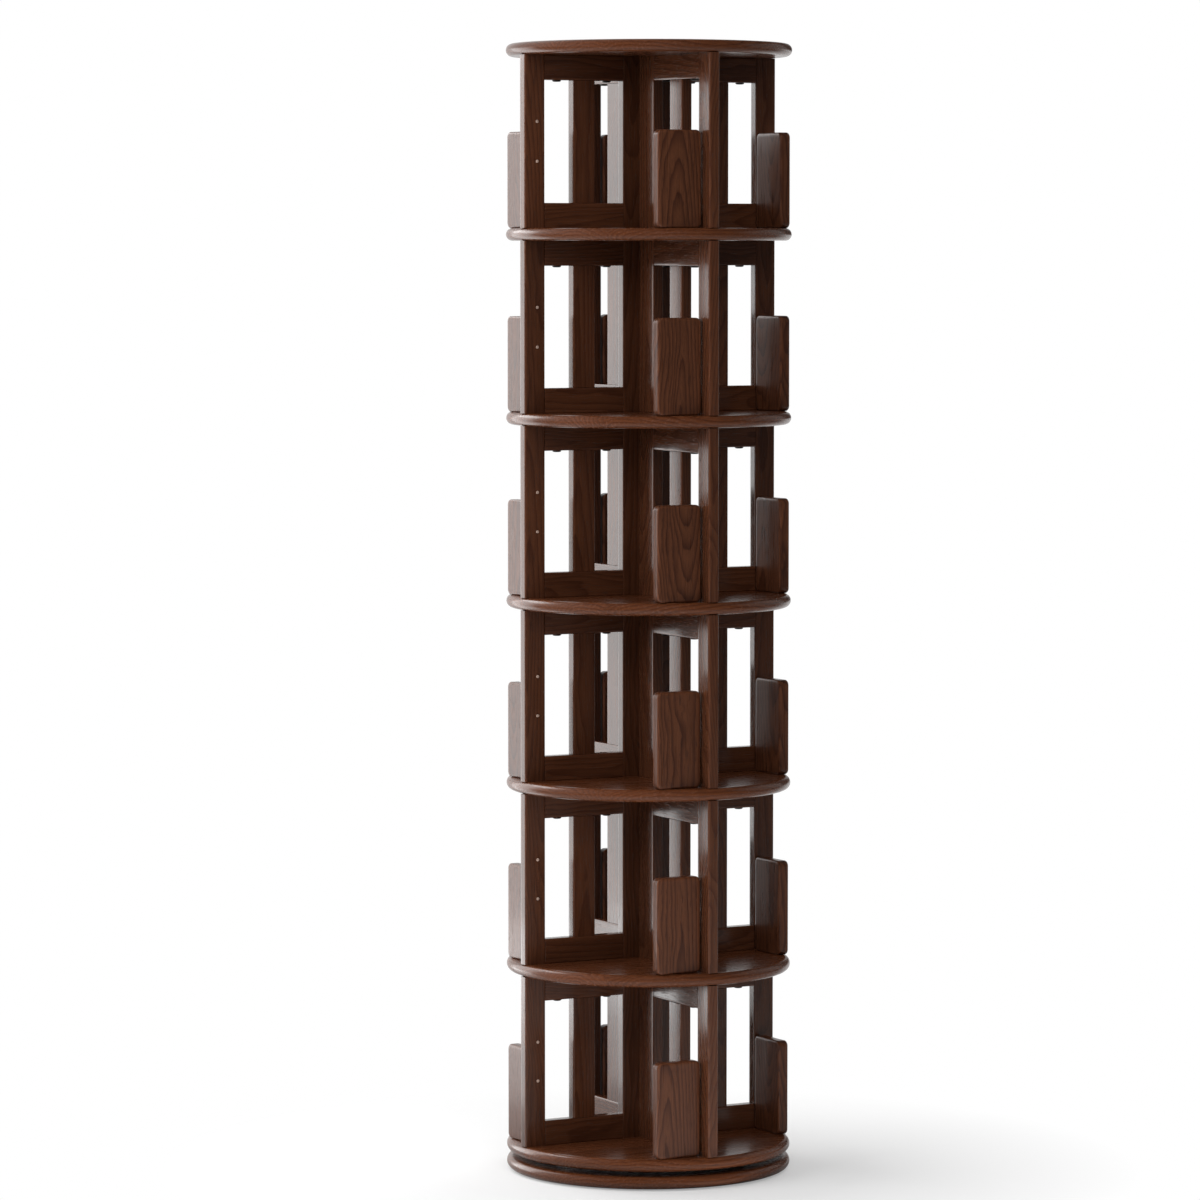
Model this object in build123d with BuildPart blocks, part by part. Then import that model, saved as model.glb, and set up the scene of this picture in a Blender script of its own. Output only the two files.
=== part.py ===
from build123d import *
import os
from math import atan2, cos, sqrt

# A revolving bookcase: six tiers of four slatted panels set as a pinwheel between round boards,
# turning on a ball race that stands on a round base. Millimetres, +Z up, the origin is on the
# floor at the turning axis.

# Overall sizes
board_diameter = 460
board_thickness = 20
panel_height = 275
tier_count = 6
sides = ("front", "left", "back", "right")

# Slatted panels
panel_thickness = 18
panel_setback = 4
outer_post_width = 36
slat_width = 39
inner_post_width = 47
rail_height = 40

# Book stops
stop_width = 78.5
stop_height = 154
stop_thickness = 18
stop_setback = 20
stop_clearance = 3
stop_corner_radius = 9

# Turntable
turntable_height = 8
race_inset = 80
race_width = 14
race_floor = 1
race_parting = 0.8
ball_count = 16
ball_clearance = 0.1

# Feet
pad_count = 6
pad_width = 36
pad_height = 2
pad_inset = 50

# A full-round rim made as three flats that touch the half circle from outside
rim_flat_share = 2 - sqrt(2)
# A ball cut as a box with its twelve edges taken off, so that its 26 flats are alike
ball_chamfer_share = 1 - 1 / sqrt(2)

# Sizes worked out from the ones above
board_radius = board_diameter / 2
rim_chamfer = rim_flat_share * board_thickness / 2
panel_reach = board_radius - panel_setback
window_width = (panel_reach - outer_post_width - slat_width - inner_post_width) / 2
slat_start = inner_post_width + window_width
rail_end = panel_reach - outer_post_width
upper_rail_start = panel_height - rail_height

base_bottom = pad_height
base_top = base_bottom + board_thickness
shelf_bottom = base_top + turntable_height
tier_pitch = panel_height + board_thickness

race_radius = board_radius - race_inset
race_height = (turntable_height - race_parting) / 2
race_slope = atan2(race_height - race_floor, race_width / 2)
ball_radius = (turntable_height / 2 - race_floor) * cos(race_slope) - ball_clearance
ball_half_flat_share = 1 / 2 - ball_chamfer_share
ball_box = ball_radius / sqrt(1 / 4 + 2 * ball_half_flat_share**2)


def save(piece, name):
    """Label a finished piece and write it as one STEP file."""
    piece.label = name
    export_step(piece, f"parts/{name}.step")


def round_board(bottom):
    """A solid wood disc with a rounded rim, its underside at the given height."""
    with BuildPart() as board:
        with BuildSketch(Plane.XY.offset(bottom)):
            Circle(board_radius)
        extrude(amount=board_thickness)
        chamfer(board.edges().filter_by(GeomType.CIRCLE), length=rim_chamfer)
    return board.part


def shelf_top(tier):
    """Height of the board that the tier stands on, the lowest tier being 0."""
    return shelf_bottom + board_thickness + tier * tier_pitch


def side_axes(side):
    """Directions of a pinwheel arm: outwards along the panel, and across its thickness."""
    quarter = Rotation(0, 0, -90 * sides.index(side))
    outward = (quarter * Pos(0, -1, 0)).position
    across = (quarter * Pos(-1, 0, 0)).position
    return outward, across


def stick(plane, inner, outer, bottom, top):
    """One straight piece of a panel, given by its ends on the panel's own plane."""
    with BuildPart() as piece:
        with BuildSketch(plane):
            with Locations((inner, bottom)):
                Rectangle(outer - inner, top - bottom, align=(Align.MIN, Align.MIN))
        extrude(amount=panel_thickness)
    return piece.part


def slatted_panel(tier, side):
    """Two posts, two rails and a slat, standing on the axis plane of one pinwheel arm."""
    outward, across = side_axes(side)
    plane = Plane(origin=(0, 0, shelf_top(tier)), x_dir=outward, z_dir=across)
    inner_post = stick(plane, 0, inner_post_width, 0, panel_height)
    outer_post = stick(plane, rail_end, panel_reach, 0, panel_height)
    lower_rail = stick(plane, inner_post_width, rail_end, 0, rail_height)
    upper_rail = stick(plane, inner_post_width, rail_end, upper_rail_start, panel_height)
    slat = stick(plane, slat_start, slat_start + slat_width, rail_height, upper_rail_start)
    return Compound(children=[inner_post, outer_post, lower_rail, upper_rail, slat])


def book_stop(tier, side):
    """An upright board that closes the outer end of the bay beside a panel."""
    outward, across = side_axes(side)
    foot = outward * (panel_reach - stop_setback) + Vector(0, 0, shelf_top(tier))
    with BuildPart() as stop:
        with BuildSketch(Plane(origin=foot, x_dir=across, z_dir=-outward)) as face:
            with Locations((panel_thickness + stop_clearance, 0)):
                Rectangle(stop_width, stop_height, align=(Align.MIN, Align.MIN))
            fillet(face.vertices().group_by(Axis.Y)[-1], stop_corner_radius)
            chamfer(face.vertices().group_by(Axis.Y)[0], rim_chamfer)
        extrude(amount=stop_thickness)
    return stop.part


def race_ring(seat, up):
    """A turntable ring with a V-shaped ball way, standing up or hanging down from its seat."""
    with BuildPart() as ring:
        with BuildSketch(Plane.XZ):
            with BuildLine():
                Polyline(
                    (race_radius - race_width / 2, seat),
                    (race_radius + race_width / 2, seat),
                    (race_radius + race_width / 2, seat + up * race_height),
                    (race_radius, seat + up * race_floor),
                    (race_radius - race_width / 2, seat + up * race_height),
                    close=True,
                )
            make_face()
        revolve(axis=Axis.Z)
    return ring.part


os.makedirs("parts", exist_ok=True)

# Round boards
save(round_board(base_bottom), "base_board")
save(round_board(shelf_bottom), "bottom_shelf")
for tier in range(1, tier_count):
    save(round_board(shelf_top(tier) - board_thickness), f"shelf_{tier + 1}")
save(round_board(shelf_top(tier_count) - board_thickness), "top_board")

# Pinwheel tiers
for tier in range(tier_count):
    for side in sides:
        save(slatted_panel(tier, side), f"tier_{tier + 1}_{side}_panel")
    stops = Compound(children=[book_stop(tier, side) for side in sides])
    save(stops, f"tier_{tier + 1}_book_stops")

# Turntable
save(race_ring(base_top, 1), "lower_race")
save(race_ring(shelf_bottom, -1), "upper_race")

with BuildPart() as balls:
    with BuildSketch(Plane.XY.offset(base_top + (turntable_height - ball_box) / 2)):
        with PolarLocations(race_radius, ball_count):
            Rectangle(ball_box, ball_box)
    extrude(amount=ball_box)
    chamfer(balls.edges(), length=ball_chamfer_share * ball_box)
save(balls.part, "bearing_balls")

# Feet
with BuildPart() as pads:
    with BuildSketch():
        with PolarLocations(board_radius - pad_inset, pad_count):
            Rectangle(pad_width, pad_width)
    extrude(amount=pad_height)
save(pads.part, "foot_pads")
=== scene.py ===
import logging
import math
import random
from dataclasses import dataclass
from enum import Enum
from typing import NamedTuple

import bpy
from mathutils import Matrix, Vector


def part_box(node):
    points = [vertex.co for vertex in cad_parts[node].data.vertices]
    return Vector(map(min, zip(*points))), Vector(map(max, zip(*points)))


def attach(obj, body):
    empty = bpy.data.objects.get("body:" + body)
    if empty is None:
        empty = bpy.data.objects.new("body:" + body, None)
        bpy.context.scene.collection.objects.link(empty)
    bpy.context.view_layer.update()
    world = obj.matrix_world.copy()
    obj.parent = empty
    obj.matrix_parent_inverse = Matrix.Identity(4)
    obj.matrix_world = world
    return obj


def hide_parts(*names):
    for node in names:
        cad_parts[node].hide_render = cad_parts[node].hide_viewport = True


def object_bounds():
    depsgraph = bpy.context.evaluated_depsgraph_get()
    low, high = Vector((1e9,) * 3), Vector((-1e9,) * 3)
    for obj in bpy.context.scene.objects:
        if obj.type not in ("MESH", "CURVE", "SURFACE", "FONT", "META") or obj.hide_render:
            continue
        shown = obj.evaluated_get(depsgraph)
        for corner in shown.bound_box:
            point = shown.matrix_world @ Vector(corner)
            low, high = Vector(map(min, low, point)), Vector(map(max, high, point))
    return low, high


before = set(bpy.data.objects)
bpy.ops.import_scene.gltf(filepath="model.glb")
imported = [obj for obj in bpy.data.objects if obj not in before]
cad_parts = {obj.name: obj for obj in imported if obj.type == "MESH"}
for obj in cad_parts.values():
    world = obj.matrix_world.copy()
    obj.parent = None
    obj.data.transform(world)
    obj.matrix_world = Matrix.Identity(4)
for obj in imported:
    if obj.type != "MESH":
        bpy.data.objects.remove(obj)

# The revolving bookcase, dressed. Lengths are in metres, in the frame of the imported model.
CAD_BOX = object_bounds()
LOG = logging.getLogger("bookcase")
FRAME_PIXELS = 1200
TIER_COUNT = 6
DICE_SEED = 20
MM = 0.001
QUARTER_TURN = math.pi / 2
UP = Vector((0, 0, 1))
WHOLE_RANGE = (0.0, 1.0)
NOISE_RANGE = (0.3, 0.7)

Colour = tuple[float, float, float]
Point = tuple[float, float, float]
Limits = tuple[float, float]
Material = bpy.types.Material
Socket = bpy.types.NodeSocket
Feed = Socket | float | tuple[float, ...]


class Side(Enum):
    """The four arms of the pinwheel in the order that they follow each other, with their azimuths."""

    FRONT = 0
    LEFT = -90
    BACK = 180
    RIGHT = 90

    def outward(self) -> Vector:
        """The way from the turning axis to the arm's outer end."""
        return azimuth_way(self.value)

    def across(self) -> Vector:
        """The way across the arm's thickness, from its plane face to the other one."""
        out = self.outward()
        return Vector((out.y, -out.x, 0))


class Body(Enum):
    """The bodies that turn against each other."""

    BASE = "base"
    BALL_RING = "ball_ring"
    CAROUSEL = "carousel"


class Slot(Enum):
    """The record's material slots."""

    BASE_WOOD = "base_wood"
    BOARD_WOOD = "board_wood"
    PANEL_WOOD = "panel_wood"
    STOP_WOOD = "stop_wood"
    RACE_STEEL = "race_steel"
    BALL_STEEL = "ball_steel"
    FELT = "felt"


class Stock(Enum):
    """How a piece of timber is made up."""

    SINGLE = "one length of wood"
    STAVES = "edge-glued staves"


class Run(Enum):
    """Which way the grain of a panel's stick runs."""

    UPWARDS = "upwards"
    OUTWARDS = "outwards"


class Spot(NamedTuple):
    """One point of a surface: its place, its place in the log, and 1 on an edge or 0 away from it."""

    place: Vector
    grain: Vector
    edge: float = 0.0


class OutlinePoint(NamedTuple):
    """One point of a flat outline, with 1 on a rounded corner and 0 beside it."""

    x: float
    y: float
    edge: float


class Stick(NamedTuple):
    """A straight piece of a panel, from its inner lower corner to its outer upper one, outwards and up."""

    run: Run
    start: tuple[float, float]
    end: tuple[float, float]
    radius: float


class PanelBox(NamedTuple):
    """A panel's reach from the axis, its thickness, the height of its foot, and its own height."""

    reach: float
    thick: float
    foot: float
    height: float


class LogPlace(NamedTuple):
    """Where a length of wood was cut: a seed, and the heart's place across and below."""

    seed: Socket
    side: Socket
    deep: Socket


@dataclass(frozen=True)
class LogCut:
    """Where in their logs the lengths of one kind of piece may be cut."""

    side: float
    near: float
    far: float

    def draw(self, dice: random.Random) -> Point:
        """A seed and a log's heart for one length."""
        return dice.random(), dice.uniform(-self.side, self.side), dice.uniform(self.near, self.far)


# A skin's closed loops, from one end of it to the other
Loops = list[list[Spot]]


def level_way(angle: float) -> Vector:
    """The level direction at an angle from +X."""
    return Vector((math.cos(angle), math.sin(angle), 0))


def azimuth_way(azimuth_deg: float) -> Vector:
    """The level direction at an azimuth, which is 0 at -Y and grows towards +X."""
    turn = math.radians(azimuth_deg)
    return Vector((math.sin(turn), -math.cos(turn), 0))


def hexagon_share(angle: float) -> float:
    """How far a hexagon's side lies at an angle, as a share of its corner's distance."""
    sixth = math.tau / 6
    return math.cos(sixth / 2) / math.cos(angle % sixth - sixth / 2)


def rounded_outline(
    width: float, height: float, radius: float, steps: int, margin: float
) -> list[OutlinePoint]:
    """A rectangle with round corners about the origin, anticlockwise.

    Args:
        width: size along x.
        height: size along y.
        radius: corner radius.
        steps: straight steps in each corner.
        margin: distance from a corner's ends to the points that keep the sides flat.

    Returns:
        The outline's points.
    """
    points = []
    for quarter, (side_x, side_y) in enumerate(((1, -1), (1, 1), (-1, 1), (-1, -1))):
        turns = [(quarter - 1 + i / steps) * QUARTER_TURN for i in range(steps + 1)]
        arc = [(turn, 0.0, 1.0) for turn in turns]
        for turn, slide, edge in ((turns[0], -margin, 0.0), *arc, (turns[-1], margin, 0.0)):
            x = side_x * (width / 2 - radius) + radius * math.cos(turn) - slide * math.sin(turn)
            y = side_y * (height / 2 - radius) + radius * math.sin(turn) + slide * math.cos(turn)
            points.append(OutlinePoint(x, y, edge))
    return points


class PieceMesh:
    """A mesh under construction, whose points know where they lie in their length of wood."""

    def __init__(self, name: str) -> None:
        """Start an empty mesh.

        Args:
            name: of the mesh and its object.
        """
        self.name = name
        self.spots: list[Spot] = []
        self.stocks: list[Point] = []
        self.faces: list[list[int]] = []

    def loft(self, loops: Loops, stock: Point = (0.0, 0.0, 0.0)) -> None:
        """Add a closed skin through loops of as many points each, with flat ends.

        Args:
            loops: closed loops from one end to the other.
            stock: seed and log's heart of this length of wood.
        """
        base, count = len(self.spots), len(loops[0])
        for loop in loops:
            self.spots += loop
            self.stocks += [stock] * count
        for ring in range(len(loops) - 1):
            for i in range(count):
                here = base + ring * count + i
                beside = base + ring * count + (i + 1) % count
                self.faces.append([here, beside, beside + count, here + count])
        last = base + (len(loops) - 1) * count
        self.faces.append([base + i for i in reversed(range(count))])
        self.faces.append([last + i for i in range(count)])

    def finish(self, material: Material, crease_deg: float) -> bpy.types.Object:
        """Make the object.

        Args:
            material: its finish.
            crease_deg: edges that turn by more than this stay sharp.

        Returns:
            The new object, linked to the scene.
        """
        mesh = bpy.data.meshes.new(self.name)
        mesh.from_pydata([tuple(spot.place) for spot in self.spots], [], self.faces)
        for label, vectors in (("grain", [spot.grain for spot in self.spots]), ("stock", self.stocks)):
            layer = mesh.attributes.new(label, "FLOAT_VECTOR", "POINT")
            layer.data.foreach_set("vector", [number for vector in vectors for number in vector])
        ease = mesh.attributes.new("ease", "FLOAT", "POINT")
        ease.data.foreach_set("value", [spot.edge for spot in self.spots])
        mesh.validate()
        mesh.update()
        for polygon in mesh.polygons:
            polygon.use_smooth = True
        mesh.set_sharp_from_angle(angle=math.radians(crease_deg))
        mesh.materials.append(material)
        piece = bpy.data.objects.new(self.name, mesh)
        bpy.context.scene.collection.objects.link(piece)
        return piece


def report(piece: bpy.types.Object, body: Body, slot: Slot, *nodes: str) -> None:
    """Put a piece on its body, hide the CAD nodes that it takes the place of, and log it with its slot.

    Args:
        piece: the finished object.
        body: what it moves with.
        slot: the record's slot for its finish.
        nodes: CAD nodes that it takes the place of.
    """
    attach(piece, body.value)
    if nodes:
        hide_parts(*nodes)
    faces = len(piece.data.polygons)
    LOG.info("%s rides on %s, finish %s, %d faces", piece.name, body.value, slot.value, faces)


class NodeSketch:
    """A node tree under construction."""

    def __init__(self, tree: bpy.types.NodeTree) -> None:
        """Start on a tree, with no nodes left in it."""
        self.nodes, self.links = tree.nodes, tree.links
        self.nodes.clear()

    def put(self, socket: Socket, value: Feed) -> None:
        """Link a socket to another one, or set its own value.

        Args:
            socket: the socket that takes the value.
            value: another node's output, or a constant.
        """
        if isinstance(value, Socket):
            self.links.new(value, socket)
        else:
            socket.default_value = value

    def add(self, kind: str, *values: Feed, **settings: str) -> bpy.types.Node:
        """Add a node, set it up and feed its first inputs.

        Args:
            kind: the node's type, without the words that all shader nodes start with.
            values: what goes into its inputs, in their order.
            settings: the node's own options.

        Returns:
            The new node.
        """
        node = self.nodes.new(f"ShaderNode{kind}")
        for label, setting in settings.items():
            setattr(node, label, setting)
        for socket, value in zip(node.inputs, values):
            self.put(socket, value)
        return node

    def attribute(self, name: str, output: str) -> Socket:
        """A value that the mesh carries."""
        return self.add("Attribute", attribute_name=name).outputs[output]

    def math(self, kind: str, *values: Feed) -> Socket:
        """One arithmetic step on numbers."""
        return self.add("Math", *values, operation=kind).outputs[0]

    def vector(self, kind: str, *values: Feed, output: str = "Vector") -> Socket:
        """One arithmetic step on vectors, which gives a Vector or a Value."""
        return self.add("VectorMath", *values, operation=kind).outputs[output]

    def parts(self, vector: Socket) -> tuple[Socket, ...]:
        """The x, y and z of a vector."""
        return tuple(self.add("SeparateXYZ", vector).outputs)

    def join(self, x: Feed, y: Feed, z: Feed) -> Socket:
        """A vector from three numbers."""
        return self.add("CombineXYZ", x, y, z).outputs[0]

    def chance(self, vector: Socket) -> Socket:
        """Three random numbers that belong to a vector."""
        return self.add("TexWhiteNoise", vector, noise_dimensions="3D").outputs["Color"]

    def blend(self, share: Feed, first: Socket, second: Socket) -> Socket:
        """Two shaders mixed by a share of the second one."""
        return self.add("MixShader", share, first, second).outputs[0]

    def spread(self, value: Feed, low: float, high: float, first: float = 0.0, last: float = 1.0) -> Socket:
        """A number carried from one range to another, and held within it."""
        return self.add("MapRange", value, low, high, first, last).outputs[0]

    def swing(self, value: Feed, amount: float, middle: float = 0.0, limits: Limits = WHOLE_RANGE) -> Socket:
        """A number between two limits carried to an amount below and above a middle."""
        return self.spread(value, *limits, middle - amount, middle + amount)

    def noise(self, place: Socket, stretch: Point, detail: float = 2.0) -> Socket:
        """Smooth noise from 0 to 1.

        Args:
            place: where it is read.
            stretch: how many lumps it has to the metre along each axis.
            detail: how many finer layers it has.

        Returns:
            The noise.
        """
        node = self.add("TexNoise", self.vector("MULTIPLY", place, stretch))
        node.inputs["Scale"].default_value = 1.0
        node.inputs["Detail"].default_value = detail
        return node.outputs[0]

    def mix(self, share: Feed, first: Feed, second: Feed, kind: str = "MIX") -> Socket:
        """Two colours mixed by a share of the second one.

        Args:
            share: how far the second one counts.
            first: a colour.
            second: another colour.
            kind: how they are mixed.

        Returns:
            The mixed colour.
        """
        node = self.add("Mix", data_type="RGBA", blend_type=kind)
        self.put(node.inputs["Factor"], share)
        for label, value in (("A", first), ("B", second)):
            socket = next(entry for entry in node.inputs if entry.name == label and entry.type == "RGBA")
            self.put(socket, value if isinstance(value, Socket) else (*value, 1.0))
        return next(output for output in node.outputs if output.type == "RGBA")


class MaterialSketch(NodeSketch):
    """A node material under construction, with one surface shader."""

    def __init__(self, name: str) -> None:
        """Start a material.

        Args:
            name: of the material.
        """
        self.material = bpy.data.materials.new(name)
        self.material.use_nodes = True
        super().__init__(self.material.node_tree)
        self.shader = self.add("BsdfPrincipled")
        self.output = self.add("OutputMaterial", self.shader.outputs[0])

    def object_place(self) -> Socket:
        """A point's place in its own object."""
        return self.add("TexCoord").outputs["Object"]

    def bump(self, height: Socket, depth: float, strength: float) -> None:
        """Let the shader's light follow a height.

        Args:
            height: from 0 to 1.
            depth: what 1 stands for, in metres.
            strength: how far the light follows it.
        """
        node = self.add("Bump")
        node.inputs["Strength"].default_value = strength
        node.inputs["Distance"].default_value = depth
        self.put(node.inputs["Height"], height)
        self.put(self.shader.inputs["Normal"], node.outputs[0])

    def fill(self, **values: Feed) -> None:
        """Set or link the shader's own sockets, named with _ for a space."""
        for label, value in values.items():
            self.put(self.shader.inputs[label.replace("_", " ")], value)


@dataclass(frozen=True)
class WoodFinish:
    """Dark stained ring-porous wood under satin lacquer.

    A stretch gives lumps to the metre along the grain, across it and into the wood. The shades are
    shares of the wood's own brightness.
    """

    name: str
    light: Colour
    dark: Colour
    pore: Colour
    stock: Stock = Stock.SINGLE
    contrast: float = 0.75
    roughness: float = 0.31
    ior: float = 1.4
    relief: float = 0.25
    relief_depth: float = 0.22 * MM
    coat: float = 0.1
    coat_roughness: float = 0.1

    # Growth rings, and how they wander
    ring: float = 5.5 * MM
    tilt: float = 0.16
    late_start: float = 0.25
    late_end: float = 0.92
    late_power: float = 1.6
    late_sink: float = 0.2
    wander_stretch: Point = (5, 16, 16)
    wander_side: float = 14 * MM
    wander_deep: float = 9 * MM
    ripple_stretch: Point = (26, 90, 90)
    ripple_deep: float = 1.2 * MM
    log_step: float = 9.0

    # Vessels, thick in the early wood
    pore_stretch: Point = (45, 1150, 1150)
    pore_detail: float = 1.0
    pore_start: float = 0.66
    pore_full: float = 0.72
    pore_share: float = 0.8
    pore_roughness: float = 0.2
    early_start: float = 0.05
    early_end: float = 0.5
    early_gain: float = 0.075

    # Fibres and cloudy stain, and a painted sheen with some wear on eased edges
    fibre_stretch: Point = (14, 420, 420)
    fibre_detail: float = 3.0
    fibre_shade: float = 0.14
    fibre_roughness: float = 0.05
    fibre_rise: float = 0.25
    cloud_stretch: Point = (2.2, 11, 11)
    cloud_shade: float = 0.12
    length_shade: float = 0.10
    # share by which eased edges are painted lighter: painted sheen, partly wear
    edge_wear_and_painted_sheen: float = 0.16

    # Staves of a glued board
    stave: float = 78 * MM
    stave_cut: LogCut = LogCut(side=30 * MM, near=25 * MM, far=70 * MM)
    stave_seed: float = 3.0
    board_step: float = 61.0

    def material(self) -> Material:
        """Build the node material.

        Returns:
            The new material.
        """
        wood = MaterialSketch(self.name)
        grain = wood.attribute("grain", "Vector")
        along, side, deep = wood.parts(grain)
        if self.stock is Stock.STAVES:
            log, side = self._stave(wood, side)
        else:
            log = LogPlace(*wood.parts(wood.attribute("stock", "Vector")))
        step = wood.math("MULTIPLY", log.seed, self.log_step)
        shifted = wood.vector("ADD", grain, wood.join(step, log.side, log.deep))
        lean = wood.math("MULTIPLY", along, wood.swing(log.seed, self.tilt))
        from_heart = wood.math("ADD", wood.math("ADD", deep, log.deep), lean)
        rings = self._rings(wood, shifted, wood.math("SUBTRACT", side, log.side), from_heart)
        late = wood.math("MULTIPLY", self._late(wood, rings), self.contrast)
        pores = self._pores(wood, shifted, rings)
        fibre = wood.noise(shifted, self.fibre_stretch, self.fibre_detail)
        colour = wood.mix(late, self.light, self.dark)
        colour = wood.mix(wood.math("MULTIPLY", pores, self.pore_share), colour, self.pore)
        shade = self._shade(wood, shifted, fibre, log.seed)
        rough = wood.swing(fibre, self.fibre_roughness, self.roughness, NOISE_RANGE)
        rough = wood.math("ADD", rough, wood.math("MULTIPLY", pores, self.pore_roughness))
        colour = wood.mix(1.0, colour, wood.join(shade, shade, shade), "MULTIPLY")
        wood.fill(Base_Color=colour, Roughness=rough)
        wood.fill(IOR=self.ior, Coat_Weight=self.coat, Coat_Roughness=self.coat_roughness)
        sunk = wood.math("ADD", pores, wood.math("MULTIPLY", late, self.late_sink))
        height = wood.math("SUBTRACT", wood.math("MULTIPLY", fibre, self.fibre_rise), sunk)
        wood.bump(height, self.relief_depth, self.relief)
        return wood.material

    def _stave(self, wood: MaterialSketch, side: Socket) -> tuple[LogPlace, Socket]:
        """The stave that a point of a glued board lies in.

        Args:
            wood: the material.
            side: the point's place across the board.

        Returns:
            Where the stave was cut, and the point's place across it.
        """
        index = wood.math("FLOOR", wood.math("DIVIDE", side, self.stave))
        board = wood.math("MULTIPLY", wood.parts(wood.attribute("stock", "Vector"))[0], self.board_step)
        seed, green, blue = wood.parts(wood.chance(wood.join(index, board, self.stave_seed)))
        middle = wood.math("MULTIPLY", wood.math("ADD", index, 0.5), self.stave)
        heart_side = wood.swing(green, self.stave_cut.side)
        heart_deep = wood.spread(blue, *WHOLE_RANGE, self.stave_cut.near, self.stave_cut.far)
        return LogPlace(seed, heart_side, heart_deep), wood.math("SUBTRACT", side, middle)

    def _rings(self, wood: MaterialSketch, shifted: Socket, y: Socket, z: Socket) -> Socket:
        """How many growth rings lie between a point and the heart of the log.

        Args:
            wood: the material.
            shifted: the point's place in the noise.
            y: distance from the heart across the piece.
            z: distance from the heart into the piece.

        Returns:
            The count, with its fraction.
        """
        wander = wood.noise(shifted, self.wander_stretch)
        ripple = wood.noise(shifted, self.ripple_stretch)
        y = wood.math("ADD", y, wood.swing(wander, self.wander_side))
        radius = wood.vector("LENGTH", wood.join(0.0, y, z), output="Value")
        radius = wood.math("ADD", radius, wood.swing(wander, self.wander_deep))
        radius = wood.math("ADD", radius, wood.swing(ripple, self.ripple_deep))
        return wood.math("DIVIDE", radius, self.ring)

    def _late(self, wood: MaterialSketch, rings: Socket) -> Socket:
        """1 in the dark late wood of a ring, falling to 0 in its early wood.

        Args:
            wood: the material.
            rings: rings from the heart.

        Returns:
            The share of late wood.
        """
        part = wood.math("FRACT", rings)
        rise = wood.spread(part, self.late_start, self.late_end)
        fall = wood.spread(part, self.late_end, 1.0, 1.0, 0.0)
        return wood.math("MULTIPLY", wood.math("POWER", rise, self.late_power), fall)

    def _pores(self, wood: MaterialSketch, shifted: Socket, rings: Socket) -> Socket:
        """Short dark vessel lines, thick in the early wood.

        Args:
            wood: the material.
            shifted: the point's place in the noise.
            rings: rings from the heart.

        Returns:
            1 in a vessel and 0 beside it.
        """
        lines = wood.noise(shifted, self.pore_stretch, self.pore_detail)
        part = wood.math("FRACT", rings)
        early = wood.spread(part, self.early_start, self.early_end, self.early_gain, 0.0)
        return wood.spread(wood.math("ADD", lines, early), self.pore_start, self.pore_full)

    def _shade(self, wood: MaterialSketch, shifted: Socket, fibre: Socket, seed: Socket) -> Socket:
        """How much lighter or darker the stain is than usual, with the eased edges painted lighter as a
        sheen and some wear.

        Args:
            wood: the material.
            shifted: the point's place in the noise.
            fibre: the fibres' noise.
            seed: what makes each length of wood differ.

        Returns:
            A share of the colour, about 1.
        """
        cloud = wood.noise(shifted, self.cloud_stretch)
        shade = wood.swing(fibre, self.fibre_shade, 1.0, NOISE_RANGE)
        shade = wood.math("ADD", shade, wood.swing(cloud, self.cloud_shade, limits=NOISE_RANGE))
        shade = wood.math("ADD", shade, wood.swing(seed, self.length_shade))
        # painted sheen, partly wear: the eased edges are painted lighter by a share of the colour
        wear_and_painted_sheen = wood.math("MULTIPLY", wood.attribute("ease", "Fac"), self.edge_wear_and_painted_sheen)
        return wood.math("ADD", shade, wear_and_painted_sheen)


@dataclass(frozen=True)
class MetalFinish:
    """Plated or blackened steel with fine scratches."""

    name: str
    colour: Colour
    roughness: float
    metallic: float = 1.0
    dull_share: float = 0.72
    dull_start: float = 0.35
    dull_full: float = 0.7
    cloud_stretch: Point = (60, 60, 60)
    scratch_stretch: Point = (900, 900, 2600)
    scratch_detail: float = 3.0
    scratch_depth: float = 0.03 * MM
    smoother: float = 0.06
    rougher: float = 0.1
    relief: float = 0.3

    def material(self) -> Material:
        """Build the node material.

        Returns:
            The new material.
        """
        metal = MaterialSketch(self.name)
        place = metal.object_place()
        scratch = metal.noise(place, self.scratch_stretch, self.scratch_detail)
        cloud = metal.noise(place, self.cloud_stretch)
        dull = tuple(self.dull_share * channel for channel in self.colour)
        dulled = metal.spread(cloud, self.dull_start, self.dull_full)
        smooth, rough = self.roughness - self.smoother, self.roughness + self.rougher
        metal.fill(Base_Color=metal.mix(dulled, self.colour, dull), Metallic=self.metallic)
        metal.fill(Roughness=metal.spread(scratch, *NOISE_RANGE, smooth, rough))
        metal.bump(scratch, self.scratch_depth, self.relief)
        return metal.material


@dataclass(frozen=True)
class FeltFinish:
    """Pressed felt."""

    name: str
    colour: Colour
    pale_share: float = 2.2
    pale_start: float = 0.35
    pale_full: float = 0.75
    fibre_stretch: Point = (1800, 1800, 900)
    fibre_detail: float = 4.0
    fibre_depth: float = 0.4 * MM
    relief: float = 0.6
    roughness: float = 0.95
    sheen: float = 0.3
    sheen_roughness: float = 0.5

    def material(self) -> Material:
        """Build the node material.

        Returns:
            The new material.
        """
        felt = MaterialSketch(self.name)
        fibres = felt.noise(felt.object_place(), self.fibre_stretch, self.fibre_detail)
        pale = tuple(self.pale_share * channel for channel in self.colour)
        paled = felt.spread(fibres, self.pale_start, self.pale_full)
        felt.fill(Base_Color=felt.mix(paled, self.colour, pale), Roughness=self.roughness)
        felt.fill(Sheen_Weight=self.sheen, Sheen_Roughness=self.sheen_roughness)
        felt.bump(fibres, self.fibre_depth, self.relief)
        return felt.material


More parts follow.
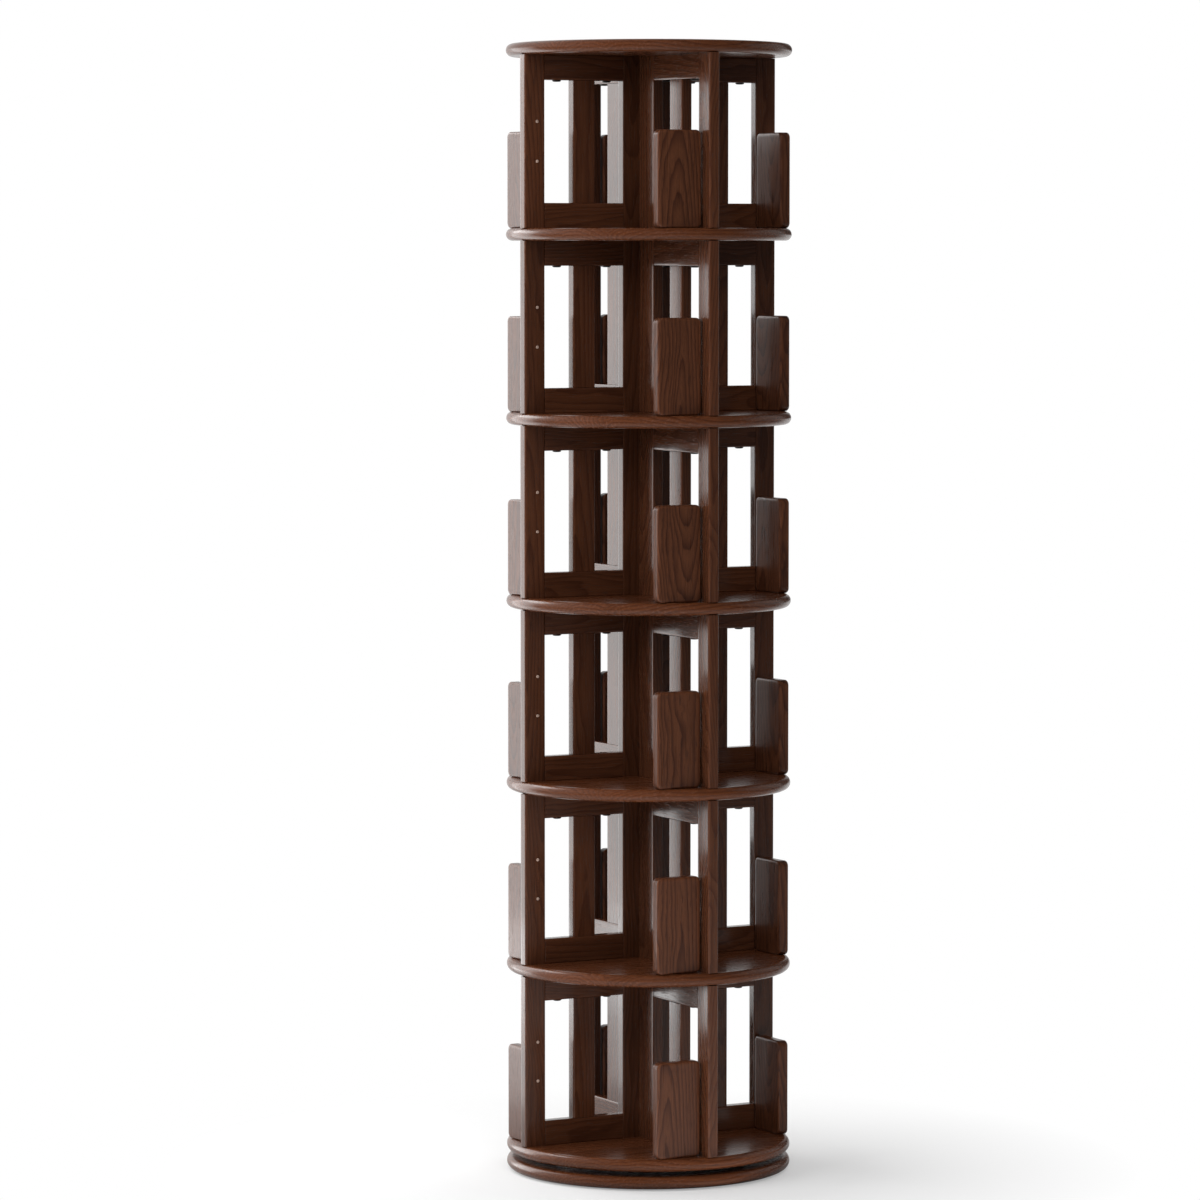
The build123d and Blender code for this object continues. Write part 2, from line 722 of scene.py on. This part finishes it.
BOARD_WOOD = WoodFinish(
    "board_walnut",
    light=(0.092, 0.0288, 0.0110), dark=(0.042, 0.0114, 0.0046), pore=(0.020, 0.0060, 0.0030),
    stock=Stock.STAVES, tilt=0.05, contrast=0.85, roughness=0.25)
PANEL_WOOD = WoodFinish(
    "panel_walnut",
    light=(0.073, 0.0255, 0.0118), dark=(0.036, 0.0110, 0.0055), pore=(0.018, 0.006, 0.0037),
    tilt=0.10, roughness=0.2, ior=1.45, relief=0.1)
STOP_WOOD = WoodFinish(
    "stop_walnut",
    light=(0.083, 0.0288, 0.0130), dark=(0.032, 0.0096, 0.0048), pore=(0.017, 0.0056, 0.0034),
    contrast=0.95, relief=0.18)
RACE_STEEL = MetalFinish("race_zinc", (0.52, 0.52, 0.54), roughness=0.32)
BALL_STEEL = MetalFinish("ball_polished", (0.62, 0.62, 0.64), roughness=0.12)
BOLT_STEEL = MetalFinish("bolt_black", (0.045, 0.040, 0.038), roughness=0.38)
SCREW_NICKEL = MetalFinish("screw_nickel", (0.60, 0.44, 0.36), roughness=0.30, metallic=0.35)
PAD_FELT = FeltFinish("pad_felt", (0.016, 0.014, 0.013))


@dataclass
class RoundBoard:
    """A round board with a full-round rim, glued up from staves."""

    node: str
    body: Body
    slot: Slot
    seed: float
    steps_round: int = 192
    steps_rim: int = 12
    flat_margin: float = 3 * MM
    # how far the rim counts as an eased edge, which the wood paints lighter as a sheen and some wear
    rim_edge: float = 0.6
    crease_deg: float = 60.0

    def build(self, material: Material) -> None:
        """Make the board and put it in place of its node.

        Args:
            material: its finish.
        """
        mesh = PieceMesh(f"{self.node}_wood")
        mesh.loft(self.loops(), (self.seed, 0.0, 0.0))
        report(mesh.finish(material, self.crease_deg), self.body, self.slot, self.node)

    def loops(self) -> Loops:
        """Circles from the underside's flat over the rim to the top's flat.

        Returns:
            The circles, lowest first.
        """
        low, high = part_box(self.node)
        middle, nose = (low[2] + high[2]) / 2, (high[2] - low[2]) / 2
        nose_centre = (high[0] - low[0]) / 2 - nose
        profile = [(nose_centre - self.flat_margin, -nose, 0.0)]
        for i in range(self.steps_rim + 1):
            angle = math.pi * (i / self.steps_rim - 0.5)
            profile.append((nose_centre + nose * math.cos(angle), nose * math.sin(angle), self.rim_edge))
        profile.append((nose_centre - self.flat_margin, nose, 0.0))
        loops = []
        for radius, rise, edge in profile:
            loop = []
            for i in range(self.steps_round):
                grain = level_way(math.tau * i / self.steps_round) * radius + UP * rise
                loop.append(Spot(grain + UP * middle, grain, edge))
            loops.append(loop)
        return loops


@dataclass
class SlattedPanel:
    """Two posts, two rails and a slat between two boards."""

    tier: int
    side: Side
    outer_post: float = 36 * MM
    slat: float = 39 * MM
    inner_post: float = 47 * MM
    rail: float = 40 * MM
    edge_radius: float = 1.3 * MM
    outer_radius: float = 2.2 * MM
    end_ease: float = 0.25 * MM
    margin: float = 2.5 * MM
    corner_steps: int = 3
    crease_deg: float = 35.0
    cut: LogCut = LogCut(side=26 * MM, near=16 * MM, far=60 * MM)

    @property
    def node(self) -> str:
        """The CAD node that this panel stands for."""
        return f"tier_{self.tier}_{self.side.name.lower()}_panel"

    def measure(self) -> PanelBox:
        """Take the panel's place and size from the frame.

        Returns:
            Its reach, thickness, foot and height.
        """
        low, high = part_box(self.node)
        thick, reach = sorted((high[0] - low[0], high[1] - low[1]))
        return PanelBox(reach, thick, low[2], high[2] - low[2])

    def window(self, box: PanelBox) -> float:
        """The width of each of the two openings beside the slat."""
        return (box.reach - self.outer_post - self.slat - self.inner_post) / 2

    def build(self, material: Material, dice: random.Random) -> None:
        """Make the panel and put it in place of its node.

        Args:
            material: its finish.
            dice: what chooses each stick's place in its log.
        """
        box = self.measure()
        mesh = PieceMesh(f"{self.node}_wood")
        for stick in self.sticks(box):
            mesh.loft(self.loops(stick, box), self.cut.draw(dice))
        report(mesh.finish(material, self.crease_deg), Body.CAROUSEL, Slot.PANEL_WOOD, self.node)

    def sticks(self, box: PanelBox) -> list[Stick]:
        """The posts, the rails and the slat.

        Args:
            box: the panel's place and size.

        Returns:
            The five sticks.
        """
        inner, rail_end = self.inner_post, box.reach - self.outer_post
        slat_start = inner + self.window(box)
        upper = box.height - self.rail
        return [
            Stick(Run.UPWARDS, (0, 0), (inner, box.height), self.edge_radius),
            Stick(Run.UPWARDS, (rail_end, 0), (box.reach, box.height), self.outer_radius),
            Stick(Run.OUTWARDS, (inner, 0), (rail_end, self.rail), self.edge_radius),
            Stick(Run.OUTWARDS, (inner, upper), (rail_end, box.height), self.edge_radius),
            Stick(Run.UPWARDS, (slat_start, self.rail), (slat_start + self.slat, upper), self.edge_radius),
        ]

    def loops(self, stick: Stick, box: PanelBox) -> Loops:
        """One stick's outlines from end to end, with eased edges.

        Args:
            stick: the stick.
            box: its panel's place and size.

        Returns:
            The outlines, in the order that turns the skin outwards.
        """
        out, across = self.side.outward(), self.side.across()
        wide, tall = stick.end[0] - stick.start[0], stick.end[1] - stick.start[1]
        upright = stick.run is Run.UPWARDS
        length, width = (tall, wide) if upright else (wide, tall)
        ease, margin = self.end_ease, self.margin
        rings = ((0.0, ease), (ease, 0.0), (margin, 0.0),
                 (length - margin, 0.0), (length - ease, 0.0), (length, ease))
        loops = []
        for along, inset in rings:
            loop = []
            for point in rounded_outline(
                width - 2 * inset, box.thick - 2 * inset, stick.radius, self.corner_steps, margin
            ):
                aside = point.x + width / 2
                reach, rise = (aside, along) if upright else (along, aside)
                place = out * (stick.start[0] + reach) + across * (point.y + box.thick / 2)
                place += UP * (box.foot + stick.start[1] + rise)
                loop.append(Spot(place, Vector((along - length / 2, point.x, point.y)), point.edge))
            loops.append(loop)
        return loops[::-1] if upright else loops


@dataclass
class BookStops:
    """The four upright boards of a tier that keep its rows from sliding out."""

    tier: int
    thick: float = 18 * MM
    clearance: float = 3 * MM
    panel_thick: float = 18 * MM
    width: float = 78.5 * MM
    corner: float = 9 * MM
    ease: float = 3.2 * MM
    margin: float = 3 * MM
    ease_steps: int = 4
    corner_steps: int = 8
    crease_deg: float = 50.0
    cut: LogCut = LogCut(side=22 * MM, near=14 * MM, far=34 * MM)

    def build(self, material: Material, dice: random.Random) -> None:
        """Make the four stops and put them in place of their node.

        Args:
            material: their finish.
            dice: what chooses each stop's place in its log.
        """
        node = f"tier_{self.tier}_book_stops"
        low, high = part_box(node)
        mesh = PieceMesh(f"{node}_wood")
        for side in Side:
            mesh.loft(self.loops(side, high[0], low[2], high[2] - low[2]), self.cut.draw(dice))
        report(mesh.finish(material, self.crease_deg), Body.CAROUSEL, Slot.STOP_WOOD, node)

    def profile(self) -> list[tuple[float, float, float]]:
        """How a stop's edge is rounded.

        Returns:
            Depth, inset and edge of each outline from the outer face to the inner one.
        """
        rows = [(0.0, self.ease + self.margin, 0.0)]
        for i in range(self.ease_steps + 1):
            angle = i / self.ease_steps * QUARTER_TURN
            rows.append((self.ease * (1 - math.cos(angle)), self.ease * (1 - math.sin(angle)), 1.0))
        rows.append((self.ease + self.margin, 0.0, 0.0))
        return rows + [(self.thick - depth, inset, edge) for depth, inset, edge in reversed(rows)]

    def loops(self, side: Side, reach: float, foot: float, height: float) -> Loops:
        """One stop's outlines from its inner face to its outer one.

        Args:
            side: the arm that it stands beside.
            reach: distance of its outer face from the axis.
            foot: height that it stands on.
            height: its own height.

        Returns:
            The outlines.
        """
        out, across = side.outward(), side.across()
        middle = self.panel_thick + self.clearance + self.width / 2
        loops = []
        for depth, inset, edge in self.profile():
            loop = []
            for point in rounded_outline(
                self.width - 2 * inset, height - 2 * inset, self.corner - inset,
                self.corner_steps, self.margin
            ):
                place = out * (reach - depth) + across * (middle + point.x)
                place += UP * (foot + height / 2 + point.y)
                loop.append(Spot(place, Vector((point.y, point.x, depth - self.thick / 2)), edge))
            loops.append(loop)
        return loops[::-1]


@dataclass(frozen=True)
class SocketHead:
    """A low round screw head with a hexagon socket."""

    radius: float
    height: float
    socket: float
    shoulder_share: float = 0.35
    flat_share: float = 1.5
    floor_share: float = 0.45
    steps: int = 24
    dome_steps: int = 5

    def profile(self) -> list[tuple[float, float, bool]]:
        """The head's outline from its seat over the dome and down into the socket.

        Returns:
            Radius and rise of each ring, and whether it is six-sided.
        """
        shoulder = self.shoulder_share * self.height
        flat = self.flat_share * self.socket
        rows = [(self.radius, 0.0, False), (self.radius, shoulder, False)]
        for i in range(1, self.dome_steps + 1):
            angle = i / self.dome_steps * QUARTER_TURN
            radius = flat + (self.radius - flat) * math.cos(angle)
            rows.append((radius, shoulder + (self.height - shoulder) * math.sin(angle), False))
        return rows + [(self.socket, self.height, True), (self.socket, self.floor_share * self.height, True)]

    def loops(self, centre: Vector, axis: Vector) -> Loops:
        """The head's rings.

        Args:
            centre: where the head's axis meets its seat.
            axis: the way that the head stands out.

        Returns:
            The rings, seat first.
        """
        tangent = axis.orthogonal().normalized()
        other = axis.cross(tangent)
        loops = []
        for radius, rise, six_sided in self.profile():
            loop = []
            for i in range(self.steps):
                angle = math.tau * i / self.steps
                reach = radius * hexagon_share(angle) if six_sided else radius
                way = tangent * math.cos(angle) + other * math.sin(angle)
                place = centre + axis * rise + way * reach
                loop.append(Spot(place, place))
            loops.append(loop)
        return loops


@dataclass
class PanelFasteners:
    """The bolts under a tier's upper rails and the small screws in its outer posts."""

    tier: int
    bolt: SocketHead = SocketHead(radius=7 * MM, height=2.6 * MM, socket=2.4 * MM)
    screw: SocketHead = SocketHead(radius=2.5 * MM, height=1.2 * MM, socket=0.9 * MM)
    screw_setback: float = 22 * MM
    screw_spacing: float = 63 * MM
    crease_deg: float = 40.0

    def build(self, bolt_finish: Material, screw_finish: Material) -> None:
        """Make both groups.

        Args:
            bolt_finish: the bolts' finish.
            screw_finish: the screws' finish.
        """
        bolts = PieceMesh(f"tier_{self.tier}_rail_bolts")
        screws = PieceMesh(f"tier_{self.tier}_post_screws")
        for side in Side:
            panel = SlattedPanel(self.tier, side)
            box = panel.measure()
            window = panel.window(box)
            out, across = side.outward(), side.across()
            for start in (panel.inner_post, panel.inner_post + window + panel.slat):
                seat = out * (start + window / 2) + across * (box.thick / 2)
                seat.z = box.foot + box.height - panel.rail
                bolts.loft(self.bolt.loops(seat, -UP))
            for sign in (-1, 1):
                seat = out * (box.reach - self.screw_setback)
                seat.z = box.foot + box.height / 2 + sign * self.screw_spacing / 2
                screws.loft(self.screw.loops(seat, -across))
        report(bolts.finish(bolt_finish, self.crease_deg), Body.CAROUSEL, Slot.RACE_STEEL)
        report(screws.finish(screw_finish, self.crease_deg), Body.CAROUSEL, Slot.RACE_STEEL)


@dataclass
class Turntable:
    """The races keep their CAD shape, and the balls become round."""

    ball_count: int = 16
    ball_radius: float = 2.7 * MM
    rows: int = 10
    columns: int = 20
    pole_step: float = 0.3
    crease_deg: float = 60.0

    def build(self) -> None:
        """Dress the races and make the balls."""
        steel = RACE_STEEL.material()
        for node in ("lower_race", "upper_race"):
            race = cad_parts[node]
            race.data.materials.clear()
            race.data.materials.append(steel)
            LOG.info("%s keeps its CAD shape", node)
        low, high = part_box("bearing_balls")
        track = (high[0] - low[0] - (high[2] - low[2])) / 2
        mesh = PieceMesh("bearing_balls_round")
        for i in range(self.ball_count):
            way = level_way(math.tau * i / self.ball_count)
            mesh.loft(self.ball(way * track + UP * (low[2] + high[2]) / 2))
        balls = mesh.finish(BALL_STEEL.material(), self.crease_deg)
        report(balls, Body.BALL_RING, Slot.BALL_STEEL, "bearing_balls")

    def ball(self, centre: Vector) -> Loops:
        """Level rings of one ball, from near its lower pole to near its upper one.

        Args:
            centre: the ball's middle.

        Returns:
            The rings.
        """
        loops = []
        for row in range(self.rows):
            share = (row + self.pole_step) / (self.rows - 1 + 2 * self.pole_step)
            rise = math.pi * (share - 0.5)
            loop = []
            for column in range(self.columns):
                level = level_way(math.tau * column / self.columns)
                way = level * math.cos(rise) + UP * math.sin(rise)
                loop.append(Spot(centre + way * self.ball_radius, way))
            loops.append(loop)
        return loops


@dataclass
class FootPads:
    """Square felt pads under the base."""

    count: int = 6
    width: float = 36 * MM
    corner: float = 4 * MM
    corner_steps: int = 4
    ease: float = 0.5 * MM
    margin: float = 1 * MM
    crease_deg: float = 30.0

    def build(self) -> None:
        """Make the pads and put them in place of their node."""
        low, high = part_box("foot_pads")
        circle = (high[0] - low[0] - self.width) / 2
        mesh = PieceMesh("foot_pads_felt")
        for i in range(self.count):
            out = level_way(math.tau * i / self.count)
            mesh.loft(self.loops(out * circle + UP * low[2], out, high[2] - low[2]))
        report(mesh.finish(PAD_FELT.material(), self.crease_deg), Body.BASE, Slot.FELT, "foot_pads")

    def loops(self, centre: Vector, out: Vector, height: float) -> Loops:
        """One pad's outlines from the floor up.

        Args:
            centre: the middle of its foot.
            out: the way from the turning axis.
            height: its thickness.

        Returns:
            The outlines.
        """
        round_way = Vector((-out.y, out.x, 0))
        rings = ((0.0, self.ease), (self.ease, 0.0), (height - self.ease, 0.0), (height, self.ease))
        loops = []
        for rise, inset in rings:
            size = self.width - 2 * inset
            loop = []
            for point in rounded_outline(size, size, self.corner, self.corner_steps, self.margin):
                place = centre + out * point.x + round_way * point.y + UP * rise
                loop.append(Spot(place, Vector((point.x, point.y, rise))))
            loops.append(loop)
        return loops


@dataclass(frozen=True)
class SoftLamp:
    """A soft rectangular lamp, placed round the turning axis and aimed at a point on its own side.

    A mirrored lamp shows in glossy surfaces. The flagged pieces get none of its light.
    """

    name: str
    azimuth_deg: float
    distance: float
    height: float
    aim_height: float
    width: float
    tall: float
    watts: float
    mirrored: bool = False
    aim_distance: float = 0.0
    flagged: tuple[str, ...] = ()

    def build(self) -> None:
        """Add the lamp, hidden from the camera."""
        way = azimuth_way(self.azimuth_deg)
        place = way * self.distance + UP * self.height
        target = way * self.aim_distance + UP * self.aim_height
        data = bpy.data.lights.new(self.name, "AREA")
        data.shape = "RECTANGLE"
        data.size, data.size_y = self.width, self.tall
        data.energy = self.watts
        lamp = bpy.data.objects.new(self.name, data)
        lamp.location = place
        lamp.rotation_euler = (target - place).to_track_quat("-Z", "Y").to_euler()
        lamp.visible_camera = False
        lamp.visible_glossy = self.mirrored
        bpy.context.scene.collection.objects.link(lamp)
        if self.flagged:
            self._flag(lamp)
        LOG.info("%s lights the bookcase with %g watts", self.name, self.watts)

    def _flag(self, lamp: bpy.types.Object) -> None:
        """Keep the lamp's light off the flagged pieces, as a black card does in a studio.

        Args:
            lamp: the lamp's object.
        """
        shaded = bpy.data.collections.new(f"{self.name}_shaded")
        lamp.light_linking.receiver_collection = shaded
        for name in self.flagged:
            shaded.objects.link(bpy.data.objects[name])
        for member in shaded.collection_objects:
            member.light_linking.link_state = "EXCLUDE"


LAMPS = (
    SoftLamp("left_softbox", azimuth_deg=-150, distance=1.6, height=0.95, aim_height=0.95,
             width=1.05, tall=1.86, watts=15.4, mirrored=True),
    SoftLamp("left_strip", azimuth_deg=-152, distance=1.65, height=2.1, aim_height=1.3,
             width=1.2, tall=0.5, watts=9.5, mirrored=True, flagged=("top_board_wood",)),
    SoftLamp("left_low_box", azimuth_deg=-140.7, distance=0.76, height=0.17, aim_height=0.16,
             width=0.4, tall=0.32, watts=0.8, mirrored=True),
    SoftLamp("front_fill", azimuth_deg=-18, distance=3.6, height=3.4, aim_height=0.6,
             width=2.6, tall=2.6, watts=80),
    SoftLamp("floor_bounce", azimuth_deg=-30, distance=1.25, height=0.004, aim_height=1.0,
             width=1.7, tall=1.7, watts=15, aim_distance=1.25),
    SoftLamp("side_fill", azimuth_deg=-87, distance=2.7, height=1.9, aim_height=0.35,
             width=2.2, tall=1.8, watts=70),
    SoftLamp("top_fill", azimuth_deg=-120, distance=1.0, height=4.8, aim_height=0.9,
             width=2.4, tall=2.4, watts=50),
    SoftLamp("back_fill", azimuth_deg=122, distance=3.0, height=1.1, aim_height=0.95,
             width=2.0, tall=1.8, watts=66),
    SoftLamp("right_card", azimuth_deg=84, distance=4.0, height=2.4, aim_height=0.9,
             width=4.4, tall=3.4, watts=16, mirrored=True),
)


@dataclass
class Studio:
    """Pale floor, soft light from the left and a camera at the photograph's angle."""

    azimuth_deg: float = -29.5
    distance: float = 8.4
    eye_height: float = 1.505
    pitch_deg: float = 3.95
    yaw_deg: float = -0.536
    lens_px: float = 5204.0
    sensor: float = 36.0
    sight: float = 200.0
    floor_radius: float = 60.0
    floor_steps: int = 96
    floor_gap: float = 0.1 * MM
    floor_grey: float = 0.46
    floor_roughness: float = 0.7
    floor_lift: float = 0.335
    fade_start: float = 0.35
    fade_end: float = 0.8
    wall_azimuth_deg: float = -165.0
    pool_azimuth_deg: float = -200.0
    backdrop_faint: float = 0.5
    backdrop_full: float = 0.72
    bright_way: Point = (-0.55, 0.81, 0.2)
    room_low: float = 0.06
    room_high: float = 0.9
    room_edge: float = 0.3

    def build(self) -> None:
        """Set up everything round the object."""
        bpy.context.scene.view_settings.view_transform = "Standard"
        self.camera()
        self.world()
        self.floor()
        for lamp in LAMPS:
            lamp.build()

    def camera(self) -> None:
        """Add the camera."""
        data = bpy.data.cameras.new("photo_camera")
        data.sensor_width = self.sensor
        data.lens = self.lens_px * self.sensor / FRAME_PIXELS
        data.clip_end = self.sight
        camera = bpy.data.objects.new("photo_camera", data)
        bpy.context.scene.collection.objects.link(camera)
        camera.location = azimuth_way(self.azimuth_deg) * self.distance + UP * self.eye_height
        tilt = QUARTER_TURN - math.radians(self.pitch_deg)
        camera.rotation_euler = (tilt, 0, math.radians(self.azimuth_deg - self.yaw_deg))
        bpy.context.scene.camera = camera

    def backdrop_share(self, sketch: NodeSketch, way: Socket, azimuth_deg: float) -> Socket:
        """How far a ray sees the white backdrop.

        The camera's rays always do, and mirrored or refracted ones do behind the object.

        Args:
            sketch: the sketch of the floor or the world.
            way: a direction from the object.
            azimuth_deg: where the mirrored backdrop is whitest.

        Returns:
            A share from 0 to 1.
        """
        behind = sketch.vector("DOT_PRODUCT", way, tuple(azimuth_way(azimuth_deg)), output="Value")
        rays = sketch.add("LightPath").outputs
        other = sketch.math("MAXIMUM", rays["Is Glossy Ray"], rays["Is Transmission Ray"])
        share = sketch.spread(behind, self.backdrop_faint, self.backdrop_full)
        return sketch.math("MAXIMUM", rays["Is Camera Ray"], sketch.math("MULTIPLY", other, share))

    def world(self) -> None:
        """A white backdrop, and a soft room that is brighter behind on the left to everything else."""
        world = bpy.data.worlds.new("studio")
        bpy.context.scene.world = world
        world.use_nodes = True
        sketch = NodeSketch(world.node_tree)
        way = sketch.add("TexCoord").outputs["Generated"]
        bright = sketch.vector("DOT_PRODUCT", way, self.bright_way, output="Value")
        strength = sketch.spread(bright, self.room_edge, 1.0, self.room_low, self.room_high)
        room = sketch.add("Background")
        sketch.put(room.inputs["Strength"], strength)
        white = sketch.add("Background", (1.0, 1.0, 1.0, 1.0))
        share = self.backdrop_share(sketch, way, self.wall_azimuth_deg)
        sketch.add("OutputWorld", sketch.blend(share, room.outputs[0], white.outputs[0]))

    def floor_material(self) -> Material:
        """A pale floor that fades to white away from the bookcase and is clear from below.

        Returns:
            The new material.
        """
        sketch = MaterialSketch("pale_floor")
        grey = self.floor_grey
        sketch.fill(Base_Color=(grey, grey, grey, 1.0), Roughness=self.floor_roughness)
        place = sketch.object_place()
        lift, white = sketch.add("Emission"), sketch.add("Emission")
        seen_direct = sketch.add("LightPath").outputs["Is Camera Ray"]
        sketch.put(lift.inputs["Strength"], sketch.math("MULTIPLY", seen_direct, self.floor_lift))
        near = sketch.add("AddShader", sketch.shader.outputs[0], lift.outputs[0]).outputs[0]
        far = sketch.vector("LENGTH", place, output="Value")
        fade = sketch.spread(far, self.fade_start, self.fade_end)
        pool = self.backdrop_share(sketch, sketch.vector("NORMALIZE", place), self.pool_azimuth_deg)
        seen = sketch.blend(sketch.math("MULTIPLY", fade, pool), near, white.outputs[0])
        clear = sketch.add("BsdfTransparent").outputs[0]
        under = sketch.add("NewGeometry").outputs["Backfacing"]
        sketch.put(sketch.output.inputs["Surface"], sketch.blend(under, seen, clear))
        return sketch.material

    def floor(self) -> None:
        """Lay the round floor just under the object."""
        turns = [math.tau * i / self.floor_steps for i in range(self.floor_steps)]
        rim = [level_way(turn) * self.floor_radius for turn in turns]
        mesh = bpy.data.meshes.new("floor")
        mesh.from_pydata(rim, [], [list(range(self.floor_steps))])
        mesh.materials.append(self.floor_material())
        floor = bpy.data.objects.new("floor", mesh)
        floor.location.z = CAD_BOX[0][2] - self.floor_gap
        bpy.context.scene.collection.objects.link(floor)


def main() -> None:
    """Build the bookcase's sub-assemblies in order, then the studio."""
    logging.basicConfig(level=logging.INFO, format="%(message)s")
    dice = random.Random(DICE_SEED)
    board_wood, panel_wood, stop_wood = BOARD_WOOD.material(), PANEL_WOOD.material(), STOP_WOOD.material()
    bolt_steel, screw_nickel = BOLT_STEEL.material(), SCREW_NICKEL.material()
    RoundBoard("base_board", Body.BASE, Slot.BASE_WOOD, dice.random()).build(board_wood)
    shelves = [f"shelf_{tier}" for tier in range(2, TIER_COUNT + 1)]
    for node in ("bottom_shelf", *shelves, "top_board"):
        RoundBoard(node, Body.CAROUSEL, Slot.BOARD_WOOD, dice.random()).build(board_wood)
    for tier in range(1, TIER_COUNT + 1):
        for side in Side:
            SlattedPanel(tier, side).build(panel_wood, dice)
        BookStops(tier).build(stop_wood, dice)
        PanelFasteners(tier).build(bolt_steel, screw_nickel)
    Turntable().build()
    FootPads().build()
    Studio().build()


if __name__ == "__main__":
    main()
